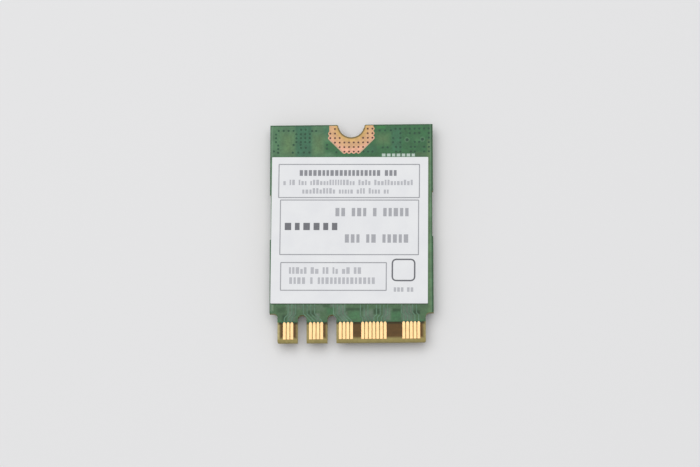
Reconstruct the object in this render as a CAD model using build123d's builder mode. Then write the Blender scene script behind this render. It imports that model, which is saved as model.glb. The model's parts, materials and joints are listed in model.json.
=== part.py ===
from build123d import *
import os

# A plug-in radio card for a laptop, 22 by 30 mm, in millimetres.
# X runs across the card, +Y from the contacts to the screw notch, and +Z up.
# The card lies with its shield lid down on z = 0 and its label up, centred on the origin.

# The card's outline
card_width = 22.0
card_length = 30.0
board_thickness = 0.8
mask_thickness = 0.03
shoulder_width = 1.075
tongue_length = 4.0
shoulder_fillet = 0.55
tongue_corner = 0.2
bevel_length = 0.42
bevel_depth = 0.16
relief_length = 6.2
relief_depth = 0.12
relief_left_y = 2.25
relief_right_y = 2.57

# Contacts, numbered across both sides, and the two key notches between them
contact_pitch = 0.5
contact_width = 0.37
contact_thickness = 0.04
contact_edge_margin = 0.45
contact_tip_margin = 0.47
mask_end = 2.79
middle_contact = 38
label_side_groups = [(2, 6), (16, 22), (32, 38), (44, 56), (66, 74)]
component_side_groups = [(1, 7), (17, 23), (33, 75)]
key_contacts = [11.5, 27.5]
key_width = 1.2
key_depth = 3.8

# Screw notch, its plated wall, and the land with its plated holes
notch_radius = 1.75
plating_thickness = 0.05
notch_corner = 0.2
land_edge_gap = 0.1
land_rim = 0.14
via_pitch = 0.635
via_diameter = 0.3
via_sides = 6
via_first_row = 0.56
via_rows = 6
via_columns = 5
via_notch_gap = 0.45
via_corner_limit = 4.8
via_bump_radius = 0.3
via_bump_sides = 8

# Label
label_thickness = 0.08
label_side_margin = 0.435
label_top_margin = 4.52
label_bottom_margin = 5.3
label_shift = -0.25
label_turn = -0.48
label_corner = 0.1

# Shield: a frame soldered to the board, and a lid pushed on over it
lid_thickness = 0.15
lid_corner_notch = 0.6
lid_bend = 0.2
lid_wall_gap = 0.45
lid_clearance = 0.03
frame_thickness = 0.15
fence_corner = 0.5
flange_width = 0.9
window_corner = 0.5
bridge_width = 0.9
pickup_radius = 2.0
headroom = 0.2
shield_side_margin = 1.0
shield_top_margin = 5.4
shield_shoulder_margin = 1.6
shield_land_overhang = 0.17
foot_pitch = 3.3
foot_gap = 1.2
foot_gap_height = 0.25
latch_pitch = 6.5
latch_length = 0.6
latch_height = 0.2
latch_depth = 0.12
latch_clearance = 0.05

# Antenna connectors
antenna_side_margin = 2.45
antenna_top_margin = 2.4
antenna_height = 0.6
antenna_base_width = 1.9
antenna_base_thickness = 0.2
antenna_base_chamfer = 0.25
antenna_plate_thickness = 0.1
antenna_ring_radius = 0.75
antenna_ring_wall = 0.15
antenna_mouth_chamfer = 0.04
antenna_leg_width = 0.8
antenna_leg_thickness = 0.18
antenna_pin_radius = 0.17
antenna_pin_setback = 0.08
antenna_tail_width = 0.3
antenna_tail_thickness = 0.08
antenna_tail_reach = 1.2
antenna_clearance = 0.02
pad_margin = 0.06

# Radio chip
chip_size = 9.0
chip_height = 0.85
chip_lead_pitch = 0.5
chip_leads_a_side = 16
chip_lead_length = 0.45
chip_lead_width = 0.25
chip_ground_pad = 6.0
standoff = 0.05

# Front-end modules
module_size = 2.5
module_height = 0.55
module_leads_a_side = 4
module_lead_length = 0.3
module_ground_pad = 1.3

# Crystal
crystal_width = 2.0
crystal_length = 1.6
crystal_base_height = 0.35
crystal_lid_height = 0.12
crystal_lid_inset = 0.12
crystal_pad_width = 0.6
crystal_pad_length = 0.5

# Memory chip
memory_width = 2.0
memory_length = 3.0
memory_height = 0.55
memory_leads_a_side = 4
memory_lead_length = 0.4

# Diplexers
diplexer_width = 2.0
diplexer_length = 1.25
diplexer_height = 0.6
diplexer_terminal_width = 0.3
diplexer_terminal_pitch = 0.65
diplexer_terminal_depth = 0.2

# Power inductors
inductor_width = 2.0
inductor_length = 1.6
inductor_height = 1.0
inductor_corner = 0.25
inductor_terminal_width = 0.45
inductor_terminal_height = 0.12

# Voltage regulator
regulator_width = 1.6
regulator_length = 2.9
regulator_height = 0.95
regulator_lead_span = 2.7
regulator_lead_width = 0.4
regulator_lead_thickness = 0.13
regulator_lead_pitch = 0.95
regulator_lead_height = 0.5
regulator_foot = 0.3

# Chip capacitors, resistors and matching inductors
large_length = 1.6
large_width = 0.8
large_height = 0.8
large_cap = 0.3
small_length = 0.6
small_width = 0.3
small_height = 0.3
small_cap = 0.13
resistor_height = 0.23
matching_length = 1.0
matching_width = 0.5
matching_height = 0.5
matching_cap = 0.25
matching_pitch = 1.5
cap_proud = 0.02

# Places under the shield, as shares of the room from its middle to its walls
chip_share = -0.2
front_share = 0.72
module_share = 0.45
column_share = 0.8
memory_share = 0.1
crystal_share = -0.32
inductor_share = -0.6
large_share = -0.8
bottom_row_share = -0.94
bottom_row_reach = 0.88
bottom_row_count = 12
top_row_share = 0.95
top_row_reach = 0.6
top_row_count = 8
decoupling_columns = 3
decoupling_rows = 3
decoupling_pitch_x = 1.2
decoupling_pitch_y = 0.9

# Heights, from the lid's outer face up to the label
tallest_part = max(
    standoff + chip_height,
    standoff + module_height,
    standoff + memory_height,
    standoff + crystal_base_height + crystal_lid_height,
    diplexer_height,
    inductor_height,
    regulator_height,
    large_height,
)
flange_inner = lid_thickness + frame_thickness
board_bottom = flange_inner + headroom + tallest_part
board_top = board_bottom + board_thickness
laminate_bottom = board_bottom + mask_thickness
laminate_top = board_top - mask_thickness
lid_wall_end = board_bottom - lid_wall_gap
latch_z = (lid_thickness + lid_wall_end) / 2

# Places in plan
card_top = card_length / 2
card_tip = -card_length / 2
shoulder_y = card_tip + tongue_length
tongue_width = card_width - 2 * shoulder_width
notch_wall_radius = notch_radius + plating_thickness
shield_width = card_width - 2 * shield_side_margin
shield_top = card_top - shield_top_margin
shield_bottom = shoulder_y + shield_shoulder_margin
shield_length = shield_top - shield_bottom
shield_y = (shield_top + shield_bottom) / 2
fence_width = shield_width - 2 * (lid_thickness + lid_clearance)
fence_length = shield_length - 2 * (lid_thickness + lid_clearance)
room_width = fence_width - 2 * frame_thickness
room_length = fence_length - 2 * frame_thickness
room_corner = fence_corner - frame_thickness
antenna_x = card_width / 2 - antenna_side_margin
antenna_y = card_top - antenna_top_margin


def contact_x(number):
    """Gives the middle of a contact: neighbours in number are half a pitch apart, on opposite sides."""
    return (number - middle_contact) * contact_pitch / 2


def spot(share_x, share_y):
    """Gives a place under the shield from shares of the room between its middle and its walls."""
    return (share_x * room_width / 2, shield_y + share_y * room_length / 2)


def spread(reach, count):
    """Gives count even shares from -reach to reach."""
    return [reach * (2 * index / (count - 1) - 1) for index in range(count)]


# Where each part stands on the component side
chip_spot = spot(0, chip_share)
module_spots = {"left": spot(-module_share, front_share), "right": spot(module_share, front_share)}
diplexer_spots = {"left": spot(-column_share, front_share), "right": spot(column_share, front_share)}
antenna_spots = {"left": (-antenna_x, antenna_y), "right": (antenna_x, antenna_y)}
memory_spot = spot(-column_share, memory_share)
crystal_spot = spot(-column_share, crystal_share)
regulator_spot = spot(column_share, memory_share)
inductor_spots = [spot(-column_share, inductor_share), spot(column_share, crystal_share)]
large_spots = [
    spot(-column_share, large_share),
    spot(column_share, inductor_share),
    spot(column_share, large_share),
]
bottom_row = [spot(share, bottom_row_share) for share in spread(bottom_row_reach, bottom_row_count)]
top_row = [spot(share, top_row_share) for share in spread(top_row_reach, top_row_count)]
decoupling_grid = [
    (
        (column - (decoupling_columns - 1) / 2) * decoupling_pitch_x,
        spot(0, front_share)[1] + (row - (decoupling_rows - 1) / 2) * decoupling_pitch_y,
    )
    for column in range(decoupling_columns)
    for row in range(decoupling_rows)
]
small_spots = bottom_row[0::2] + top_row[0::2] + decoupling_grid
resistor_spots = bottom_row[1::2] + top_row[1::2]
matching_y = (shield_top + antenna_y - antenna_tail_reach) / 2
matching_inductor_spots = [
    (side * (antenna_x - step * matching_pitch), matching_y) for side in (-1, 1) for step in (0, 2)
]
matching_capacitor_spots = [(side * (antenna_x - matching_pitch), matching_y) for side in (-1, 1)]

# The partition and its bridge cross the frame between the radio chip and the front-end modules
partition_y = (chip_spot[1] + chip_size / 2 + spot(0, front_share)[1] - module_size / 2) / 2

# Centres of the plated holes that stitch the screw land to the board's ground
via_spots = []
for row in range(via_rows):
    depth = via_first_row + row * via_pitch
    for column in range(via_columns):
        reach = (column + 0.5) * via_pitch
        clear_of_notch = (reach**2 + depth**2) ** 0.5 > notch_radius + via_notch_gap
        if clear_of_notch and reach + depth < via_corner_limit:
            via_spots.append((reach, card_top - depth))
            # The first row has its outermost hole on the right side alone.
            if row > 0 or column < via_columns - 1:
                via_spots.append((-reach, card_top - depth))

# The card's outline, which the laminate and both solder masks share
with BuildSketch() as card_outline:
    with Locations((0, shoulder_y)):
        Rectangle(card_width, card_top - shoulder_y, align=(Align.CENTER, Align.MIN))
    with Locations((0, card_tip)):
        Rectangle(tongue_width, tongue_length, align=(Align.CENTER, Align.MIN))
    tongue_roots = [
        corner
        for corner in card_outline.vertices()
        if abs(corner.Y - shoulder_y) < 0.001 and abs(abs(corner.X) - tongue_width / 2) < 0.001
    ]
    fillet(tongue_roots, shoulder_fillet)
    fillet(card_outline.vertices().group_by(Axis.Y)[0], tongue_corner)
    with Locations((0, card_top)):
        Circle(notch_wall_radius, mode=Mode.SUBTRACT)
    notch_corners = [
        corner
        for corner in card_outline.vertices()
        if abs(corner.Y - card_top) < 0.001 and abs(corner.X) < notch_wall_radius + 0.001
    ]
    fillet(notch_corners, notch_corner)
    for key in key_contacts:
        with Locations((contact_x(key), card_tip + key_depth - key_width / 2)):
            Circle(key_width / 2, mode=Mode.SUBTRACT)
            Rectangle(key_width, key_depth, align=(Align.CENTER, Align.MAX), mode=Mode.SUBTRACT)
    with Locations((-card_width / 2, relief_left_y), (card_width / 2, relief_right_y)):
        Rectangle(2 * relief_depth, relief_length, mode=Mode.SUBTRACT)

# The screw land: a cut-cornered field round the notch, with a bump round each hole at its rim
land_half_width = max(x for x, y in via_spots) + land_rim
land_depth = max(card_top - y for x, y in via_spots) + land_rim
land_slant = max(x + card_top - y for x, y in via_spots) + land_rim * 2**0.5
with BuildSketch() as screw_land:
    with BuildLine():
        Polyline(
            (-land_half_width, card_top - land_edge_gap),
            (-land_half_width, card_top - (land_slant - land_half_width)),
            (-(land_slant - land_depth), card_top - land_depth),
            (land_slant - land_depth, card_top - land_depth),
            (land_half_width, card_top - (land_slant - land_half_width)),
            (land_half_width, card_top - land_edge_gap),
            close=True,
        )
    make_face()
    with Locations(*via_spots):
        RegularPolygon(via_bump_radius, via_bump_sides)
    with Locations((0, card_top)):
        Circle(notch_wall_radius, mode=Mode.SUBTRACT)

# The holes of the screw land, drawn with a few straight sides because they are so small
with BuildSketch() as via_holes:
    with Locations(*via_spots):
        RegularPolygon(via_diameter / 2, via_sides)

# Bare lands on the component side: the ring under the shield's frame, and the outside parts' pads
with BuildSketch() as component_land_field:
    with Locations((0, shield_y)):
        RectangleRounded(
            fence_width + 2 * shield_land_overhang,
            fence_length + 2 * shield_land_overhang,
            fence_corner + shield_land_overhang,
        )
        RectangleRounded(
            room_width - 2 * shield_land_overhang,
            room_length - 2 * shield_land_overhang,
            room_corner / 2,
            mode=Mode.SUBTRACT,
        )
    for x, y in antenna_spots.values():
        leg_middle = (antenna_base_width - antenna_leg_thickness) / 2
        with Locations((x - leg_middle, y), (x + leg_middle, y)):
            Rectangle(antenna_leg_thickness + 2 * pad_margin, antenna_leg_width + 2 * pad_margin)
        with Locations((x, y + leg_middle)):
            Rectangle(antenna_leg_width + 2 * pad_margin, antenna_leg_thickness + 2 * pad_margin)
        with Locations((x, y - antenna_tail_reach - pad_margin)):
            Rectangle(
                antenna_tail_width + 2 * pad_margin,
                antenna_tail_reach / 2,
                align=(Align.CENTER, Align.MIN),
            )
    for x, y in matching_inductor_spots + matching_capacitor_spots:
        cap_middle = (matching_length - matching_cap) / 2
        with Locations((x - cap_middle, y), (x + cap_middle, y)):
            Rectangle(matching_cap + 2 * pad_margin, matching_width + 2 * pad_margin)


def contact_places(groups):
    """Gives the root of each contact that fits on the tongue, from groups of every second number."""
    most = tongue_width / 2 - contact_edge_margin - contact_width / 2
    numbers = [number for first, last in groups for number in range(first, last + 1, 2)]
    return [
        (contact_x(number), card_tip + contact_tip_margin)
        for number in numbers
        if abs(contact_x(number)) < most + 0.001
    ]


# Board

with BuildPart() as laminate_board:
    with BuildSketch(Plane.XY.offset(laminate_bottom)):
        add(card_outline.sketch)
        add(via_holes.sketch, mode=Mode.SUBTRACT)
    extrude(amount=laminate_top - laminate_bottom)
    # Both faces slope down to the tip, to ease the card into its socket.
    with BuildSketch(Plane.YZ):
        for face_z, depth in ((laminate_top, -bevel_depth), (laminate_bottom, bevel_depth)):
            with BuildLine():
                Polyline(
                    (card_tip, face_z),
                    (card_tip + bevel_length, face_z),
                    (card_tip, face_z + depth),
                    close=True,
                )
            make_face()
    extrude(amount=card_width / 2, both=True, mode=Mode.SUBTRACT)

with BuildPart() as solder_mask_label_side:
    with BuildSketch(Plane.XY.offset(laminate_top)):
        add(card_outline.sketch)
        with Locations((0, card_tip)):
            Rectangle(card_width, mask_end, align=(Align.CENTER, Align.MIN), mode=Mode.SUBTRACT)
        add(screw_land.sketch, mode=Mode.SUBTRACT)
    extrude(amount=mask_thickness)

with BuildPart() as solder_mask_component_side:
    with BuildSketch(Plane.XY.offset(board_bottom)):
        add(card_outline.sketch)
        with Locations((0, card_tip)):
            Rectangle(card_width, mask_end, align=(Align.CENTER, Align.MIN), mode=Mode.SUBTRACT)
        add(screw_land.sketch, mode=Mode.SUBTRACT)
        add(component_land_field.sketch, mode=Mode.SUBTRACT)
    extrude(amount=mask_thickness)

with BuildPart() as edge_contacts_label_side:
    with BuildSketch(Plane.XY.offset(laminate_top)):
        with Locations(*contact_places(label_side_groups)):
            Rectangle(
                contact_width,
                mask_end - contact_tip_margin,
                align=(Align.CENTER, Align.MIN),
            )
    extrude(amount=contact_thickness)

with BuildPart() as edge_contacts_component_side:
    with BuildSketch(Plane.XY.offset(laminate_bottom)):
        with Locations(*contact_places(component_side_groups)):
            Rectangle(
                contact_width,
                mask_end - contact_tip_margin,
                align=(Align.CENTER, Align.MIN),
            )
    extrude(amount=-contact_thickness)

with BuildPart() as screw_land_label_side:
    with BuildSketch(Plane.XY.offset(laminate_top)):
        add(screw_land.sketch)
        add(via_holes.sketch, mode=Mode.SUBTRACT)
    extrude(amount=mask_thickness)

with BuildPart() as screw_land_component_side:
    with BuildSketch(Plane.XY.offset(board_bottom)):
        add(screw_land.sketch)
        add(via_holes.sketch, mode=Mode.SUBTRACT)
    extrude(amount=mask_thickness)

with BuildPart() as board_notch_plating:
    with BuildSketch(Plane.XY.offset(board_bottom)):
        with Locations((0, card_top)):
            Circle(notch_wall_radius)
            Circle(notch_radius, mode=Mode.SUBTRACT)
        with Locations((0, card_top - 2 * notch_corner)):
            Rectangle(
                card_width,
                card_length,
                align=(Align.CENTER, Align.MAX),
                mode=Mode.INTERSECT,
            )
    extrude(amount=board_thickness)

with BuildPart() as component_lands:
    with BuildSketch(Plane.XY.offset(board_bottom)):
        add(component_land_field.sketch)
    extrude(amount=mask_thickness)

with BuildPart() as label:
    with BuildSketch(Plane.XY.offset(board_top)):
        with Locations((label_shift, (label_bottom_margin - label_top_margin) / 2)):
            RectangleRounded(
                card_width - 2 * label_side_margin,
                card_length - label_top_margin - label_bottom_margin,
                label_corner,
                rotation=label_turn,
            )
    extrude(amount=label_thickness)

# Shield

feet_across = int((fence_width - 2 * fence_corner - foot_gap) / foot_pitch) + 1
feet_along = int((fence_length - 2 * fence_corner - foot_gap) / foot_pitch) + 1
latches_across = int((fence_width - 2 * fence_corner - latch_length) / latch_pitch) + 1
latches_along = int((fence_length - 2 * fence_corner - latch_length) / latch_pitch) + 1
window_width = room_width - 2 * flange_width
window_length = room_length - 2 * flange_width
window_bottom = shield_y - window_length / 2

with BuildPart() as shield_frame:
    # The fence and the partition stand between the lid and the board.
    with BuildSketch(Plane.XY.offset(lid_thickness)):
        with Locations((0, shield_y)):
            RectangleRounded(fence_width, fence_length, fence_corner)
            RectangleRounded(room_width, room_length, room_corner, mode=Mode.SUBTRACT)
        with Locations((0, partition_y)):
            Rectangle(room_width + frame_thickness, frame_thickness)
    extrude(amount=board_bottom - lid_thickness)
    # The flange is bent inwards under the lid, with bridges and a round field to pick it up by.
    with BuildSketch(Plane.XY.offset(lid_thickness)):
        with Locations((0, shield_y)):
            RectangleRounded(fence_width, fence_length, fence_corner)
            RectangleRounded(window_width, window_length, window_corner, mode=Mode.SUBTRACT)
        with Locations((0, partition_y)):
            Rectangle(window_width + bridge_width, bridge_width)
        with Locations((0, window_bottom)):
            Rectangle(
                bridge_width,
                partition_y - window_bottom,
                align=(Align.CENTER, Align.MIN),
            )
        with Locations((0, (window_bottom + partition_y) / 2)):
            Circle(pickup_radius)
    extrude(amount=frame_thickness)
    # Gaps along the board leave feet to solder, with room for tracks between them.
    hanging = (Align.CENTER, Align.CENTER, Align.MAX)
    with Locations((0, shield_y, board_bottom)):
        with GridLocations(foot_pitch, fence_length - frame_thickness, feet_across, 2):
            Box(foot_gap, 2 * frame_thickness, foot_gap_height, align=hanging, mode=Mode.SUBTRACT)
        with GridLocations(fence_width - frame_thickness, foot_pitch, 2, feet_along):
            Box(2 * frame_thickness, foot_gap, foot_gap_height, align=hanging, mode=Mode.SUBTRACT)
    with Locations((0, partition_y, board_bottom)):
        with GridLocations(foot_pitch, 0, feet_across, 1):
            Box(foot_gap, 2 * frame_thickness, foot_gap_height, align=hanging, mode=Mode.SUBTRACT)
    # Pressed-out latches hold the lid by its windows.
    latch_places = []
    for side in (-1, 1):
        for step in range(latches_across):
            x = (step - (latches_across - 1) / 2) * latch_pitch
            y = shield_y + side * (fence_length + latch_depth) / 2
            latch_places.append(Location((x, y, latch_z), (0, 0, 90 - side * 90)))
        for step in range(latches_along):
            x = side * (fence_width + latch_depth) / 2
            y = shield_y + (step - (latches_along - 1) / 2) * latch_pitch
            latch_places.append(Location((x, y, latch_z), (0, 0, -side * 90)))
    with Locations(*latch_places):
        Wedge(
            latch_length,
            latch_depth,
            latch_height,
            latch_depth,
            latch_height / 4,
            latch_length - latch_depth,
            latch_height * 3 / 4,
        )

with BuildPart() as shield_lid:
    # Four walls are folded up from a flat blank with its corners cut out.
    with BuildSketch():
        with Locations((0, shield_y)):
            Rectangle(shield_width, shield_length)
    extrude(amount=lid_wall_end)
    fillet(shield_lid.faces().sort_by(Axis.Z)[0].edges(), lid_bend)
    with BuildSketch(Plane.XY.offset(lid_thickness)):
        with Locations((0, shield_y)):
            Rectangle(shield_width - 2 * lid_thickness, shield_length - 2 * lid_thickness)
    extrude(amount=lid_wall_end - lid_thickness, mode=Mode.SUBTRACT)
    with Locations((0, shield_y, lid_wall_end / 2)):
        with GridLocations(shield_width, shield_length, 2, 2):
            Box(2 * lid_corner_notch, 2 * lid_corner_notch, 2 * lid_wall_end, mode=Mode.SUBTRACT)
    window_height = latch_height + 2 * latch_clearance
    window_run = latch_length + 2 * latch_clearance
    with Locations((0, shield_y, latch_z)):
        with GridLocations(latch_pitch, shield_length - lid_thickness, latches_across, 2):
            Box(window_run, 2 * lid_thickness, window_height, mode=Mode.SUBTRACT)
        with GridLocations(shield_width - lid_thickness, latch_pitch, 2, latches_along):
            Box(2 * lid_thickness, window_run, window_height, mode=Mode.SUBTRACT)


def stand(places, width, length, height, lift=0.0, shift_x=0.0, shift_y=0.0, mode=Mode.ADD):
    """Adds a block at each place, with its foot lift away from the board's component side."""
    with Locations(*[(x + shift_x, y + shift_y, board_bottom - lift) for x, y in places]):
        Box(width, length, height, align=(Align.CENTER, Align.CENTER, Align.MAX), mode=mode)


def stand_caps(places, length, width, height, cap):
    """Adds the two metal end caps of each two-ended part."""
    for side in (-1, 1):
        stand(places, cap, width, height, shift_x=side * (length - cap) / 2)


def stand_capped_body(places, length, width, height, cap):
    """Adds the body of each two-ended part, which stands a little back from its caps' faces."""
    inset = 2 * cap_proud
    stand(places, length - 2 * cap, width - inset, height - inset, lift=cap_proud)


def stand_lead_rows(place, width, length, pitch, count, lead_length, sides="xy"):
    """Adds rows of flat leads under a package's edges: along Y at its left and right, then along X."""
    for index in range(count):
        along = (index - (count - 1) / 2) * pitch
        for side in (-1, 1):
            if "x" in sides:
                across = side * (width - lead_length) / 2
                stand([place], lead_length, chip_lead_width, standoff, 0, across, along)
            if "y" in sides:
                across = side * (length - lead_length) / 2
                stand([place], chip_lead_width, lead_length, standoff, 0, along, across)


# Antenna connectors, one near each top corner

antenna_parts = {}
antenna_end = board_bottom - antenna_height
plate_top = board_bottom - antenna_base_thickness
plate_bottom = plate_top - antenna_plate_thickness
insulator_width = antenna_base_width - 2 * antenna_leg_thickness
for side, (x, y) in antenna_spots.items():
    with BuildPart() as antenna_shell:
        with BuildSketch(Plane.XY.offset(plate_bottom)) as plate:
            with Locations((x, y)):
                Rectangle(antenna_base_width, antenna_base_width)
            chamfer(plate.vertices(), antenna_base_chamfer)
        extrude(amount=antenna_plate_thickness)
        with BuildSketch(Plane.XY.offset(antenna_end)):
            with Locations((x, y)):
                Circle(antenna_ring_radius)
        extrude(amount=plate_bottom - antenna_end)
        chamfer(antenna_shell.edges().group_by(Axis.Z)[0], antenna_mouth_chamfer)
        with BuildSketch(Plane.XY.offset(antenna_end)):
            with Locations((x, y)):
                Circle(antenna_ring_radius - antenna_ring_wall)
        extrude(amount=plate_top - antenna_end, mode=Mode.SUBTRACT)
        leg_middle = (antenna_base_width - antenna_leg_thickness) / 2
        leg_places = [(x - leg_middle, y), (x + leg_middle, y)]
        stand(leg_places, antenna_leg_thickness, antenna_leg_width, antenna_base_thickness)
        back_leg = [(x, y + leg_middle)]
        stand(back_leg, antenna_leg_width, antenna_leg_thickness, antenna_base_thickness)

    with BuildPart() as antenna_insulator:
        stand([(x, y)], insulator_width, insulator_width, antenna_base_thickness)
        with Locations((x, y, board_bottom)):
            Cylinder(
                antenna_pin_radius + antenna_clearance,
                2 * antenna_base_thickness,
                mode=Mode.SUBTRACT,
            )
        stand(
            [(x, y)],
            antenna_tail_width + 2 * antenna_clearance,
            2 * antenna_tail_reach,
            antenna_tail_thickness + antenna_clearance,
            shift_y=-antenna_tail_reach,
            mode=Mode.SUBTRACT,
        )

    with BuildPart() as antenna_pin:
        with BuildSketch(Plane.XY.offset(antenna_end + antenna_pin_setback)):
            with Locations((x, y)):
                Circle(antenna_pin_radius)
        extrude(amount=antenna_height - antenna_pin_setback)
        stand(
            [(x, y)],
            antenna_tail_width,
            antenna_tail_reach,
            antenna_tail_thickness,
            shift_y=-antenna_tail_reach / 2,
        )

    antenna_parts[f"antenna_shell_{side}"] = antenna_shell
    antenna_parts[f"antenna_insulator_{side}"] = antenna_insulator
    antenna_parts[f"antenna_pin_{side}"] = antenna_pin

# Radio chip

with BuildPart() as radio_chip_package:
    stand([chip_spot], chip_size, chip_size, chip_height, lift=standoff)

with BuildPart() as radio_chip_terminals:
    stand([chip_spot], chip_ground_pad, chip_ground_pad, standoff)
    stand_lead_rows(
        chip_spot, chip_size, chip_size, chip_lead_pitch, chip_leads_a_side, chip_lead_length
    )

# Crystal: a ceramic tub with a metal lid

with BuildPart() as crystal_base:
    stand([crystal_spot], crystal_width, crystal_length, crystal_base_height, lift=standoff)

with BuildPart() as crystal_lid:
    stand(
        [crystal_spot],
        crystal_width - 2 * crystal_lid_inset,
        crystal_length - 2 * crystal_lid_inset,
        crystal_lid_height,
        lift=standoff + crystal_base_height,
    )

with BuildPart() as crystal_terminals:
    with Locations((crystal_spot[0], crystal_spot[1], board_bottom)):
        with GridLocations(
            crystal_width - crystal_pad_width, crystal_length - crystal_pad_length, 2, 2
        ):
            Box(
                crystal_pad_width,
                crystal_pad_length,
                standoff,
                align=(Align.CENTER, Align.CENTER, Align.MAX),
            )

# Memory chip

with BuildPart() as memory_chip_package:
    stand([memory_spot], memory_width, memory_length, memory_height, lift=standoff)

with BuildPart() as memory_chip_terminals:
    stand_lead_rows(
        memory_spot,
        memory_width,
        memory_length,
        chip_lead_pitch,
        memory_leads_a_side,
        memory_lead_length,
        sides="x",
    )

# Front-end modules and diplexers, one of each for either antenna

paired_parts = {}
for side, place in module_spots.items():
    with BuildPart() as front_end_module:
        stand([place], module_size, module_size, module_height, lift=standoff)

    with BuildPart() as front_end_terminals:
        stand([place], module_ground_pad, module_ground_pad, standoff)
        stand_lead_rows(
            place,
            module_size,
            module_size,
            chip_lead_pitch,
            module_leads_a_side,
            module_lead_length,
        )

    paired_parts[f"front_end_module_{side}"] = front_end_module
    paired_parts[f"front_end_terminals_{side}"] = front_end_terminals


def stand_diplexer_terminals(place, mode):
    """Adds or cuts the three upright terminals along each long side of a diplexer."""
    across = (diplexer_length - diplexer_terminal_depth) / 2
    for step in (-1, 0, 1):
        for side in (-1, 1):
            stand(
                [place],
                diplexer_terminal_width,
                diplexer_terminal_depth,
                diplexer_height,
                shift_x=step * diplexer_terminal_pitch,
                shift_y=side * across,
                mode=mode,
            )


for side, place in diplexer_spots.items():
    with BuildPart() as diplexer:
        stand([place], diplexer_width, diplexer_length, diplexer_height)
        stand_diplexer_terminals(place, Mode.SUBTRACT)

    with BuildPart() as diplexer_terminals:
        stand_diplexer_terminals(place, Mode.ADD)

    paired_parts[f"diplexer_{side}"] = diplexer
    paired_parts[f"diplexer_terminals_{side}"] = diplexer_terminals

# Power inductors

with BuildPart() as power_inductor_cores:
    stand(
        inductor_spots,
        inductor_width,
        inductor_length,
        inductor_height - inductor_terminal_height,
        lift=inductor_terminal_height,
    )
    chamfer(power_inductor_cores.edges().filter_by(Axis.Z), inductor_corner)

with BuildPart() as power_inductor_terminals:
    stand_caps(
        inductor_spots,
        inductor_width,
        inductor_length - 2 * inductor_corner,
        inductor_terminal_height,
        inductor_terminal_width,
    )

# Voltage regulator: a moulded body with two leads on one side and three on the other

with BuildPart() as regulator_package:
    stand([regulator_spot], regulator_width, regulator_length, regulator_height)

with BuildPart() as regulator_leads:
    for side, rows in ((-1, (-1, 1)), (1, (-1, 0, 1))):
        for row in rows:
            body_face = regulator_spot[0] + side * regulator_width / 2
            lead_end = regulator_spot[0] + side * regulator_lead_span / 2
            bend = lead_end - side * regulator_foot
            exit_z = board_bottom - regulator_lead_height
            step = regulator_lead_thickness
            lead_y = regulator_spot[1] + row * regulator_lead_pitch
            with BuildSketch(Plane.XZ.offset(-lead_y)):
                with BuildLine():
                    Polyline(
                        (body_face, exit_z),
                        (bend, exit_z),
                        (bend, board_bottom - step),
                        (lead_end, board_bottom - step),
                        (lead_end, board_bottom),
                        (bend - side * step, board_bottom),
                        (bend - side * step, exit_z + step),
                        (body_face, exit_z + step),
                        close=True,
                    )
                make_face()
            extrude(amount=regulator_lead_width / 2, both=True)

# Two-ended parts

with BuildPart() as large_capacitor_bodies:
    stand_capped_body(large_spots, large_length, large_width, large_height, large_cap)

with BuildPart() as large_capacitor_terminals:
    stand_caps(large_spots, large_length, large_width, large_height, large_cap)

with BuildPart() as small_capacitor_bodies:
    stand_capped_body(small_spots, small_length, small_width, small_height, small_cap)

with BuildPart() as small_capacitor_terminals:
    stand_caps(small_spots, small_length, small_width, small_height, small_cap)

with BuildPart() as resistor_bodies:
    stand_capped_body(resistor_spots, small_length, small_width, resistor_height, small_cap)

with BuildPart() as resistor_terminals:
    stand_caps(resistor_spots, small_length, small_width, resistor_height, small_cap)

matching_sizes = (matching_length, matching_width, matching_height, matching_cap)

with BuildPart() as matching_inductor_bodies:
    stand_capped_body(matching_inductor_spots, *matching_sizes)

with BuildPart() as matching_inductor_terminals:
    stand_caps(matching_inductor_spots, *matching_sizes)

with BuildPart() as matching_capacitor_bodies:
    stand_capped_body(matching_capacitor_spots, *matching_sizes)

with BuildPart() as matching_capacitor_terminals:
    stand_caps(matching_capacitor_spots, *matching_sizes)

# Each piece is labelled and written to a file of its own.
pieces = {
    "laminate_board": laminate_board,
    "solder_mask_label_side": solder_mask_label_side,
    "solder_mask_component_side": solder_mask_component_side,
    "edge_contacts_label_side": edge_contacts_label_side,
    "edge_contacts_component_side": edge_contacts_component_side,
    "screw_land_label_side": screw_land_label_side,
    "screw_land_component_side": screw_land_component_side,
    "board_notch_plating": board_notch_plating,
    "component_lands": component_lands,
    "label": label,
    "shield_frame": shield_frame,
    "shield_lid": shield_lid,
    **antenna_parts,
    "radio_chip_package": radio_chip_package,
    "radio_chip_terminals": radio_chip_terminals,
    "crystal_base": crystal_base,
    "crystal_lid": crystal_lid,
    "crystal_terminals": crystal_terminals,
    "memory_chip_package": memory_chip_package,
    "memory_chip_terminals": memory_chip_terminals,
    **paired_parts,
    "power_inductor_cores": power_inductor_cores,
    "power_inductor_terminals": power_inductor_terminals,
    "regulator_package": regulator_package,
    "regulator_leads": regulator_leads,
    "large_capacitor_bodies": large_capacitor_bodies,
    "large_capacitor_terminals": large_capacitor_terminals,
    "small_capacitor_bodies": small_capacitor_bodies,
    "small_capacitor_terminals": small_capacitor_terminals,
    "resistor_bodies": resistor_bodies,
    "resistor_terminals": resistor_terminals,
    "matching_inductor_bodies": matching_inductor_bodies,
    "matching_inductor_terminals": matching_inductor_terminals,
    "matching_capacitor_bodies": matching_capacitor_bodies,
    "matching_capacitor_terminals": matching_capacitor_terminals,
}
os.makedirs("parts", exist_ok=True)
for name, piece in pieces.items():
    piece.part.label = name
    export_step(piece.part, f"parts/{name}.step")
print("pieces written:", len(pieces))
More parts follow.
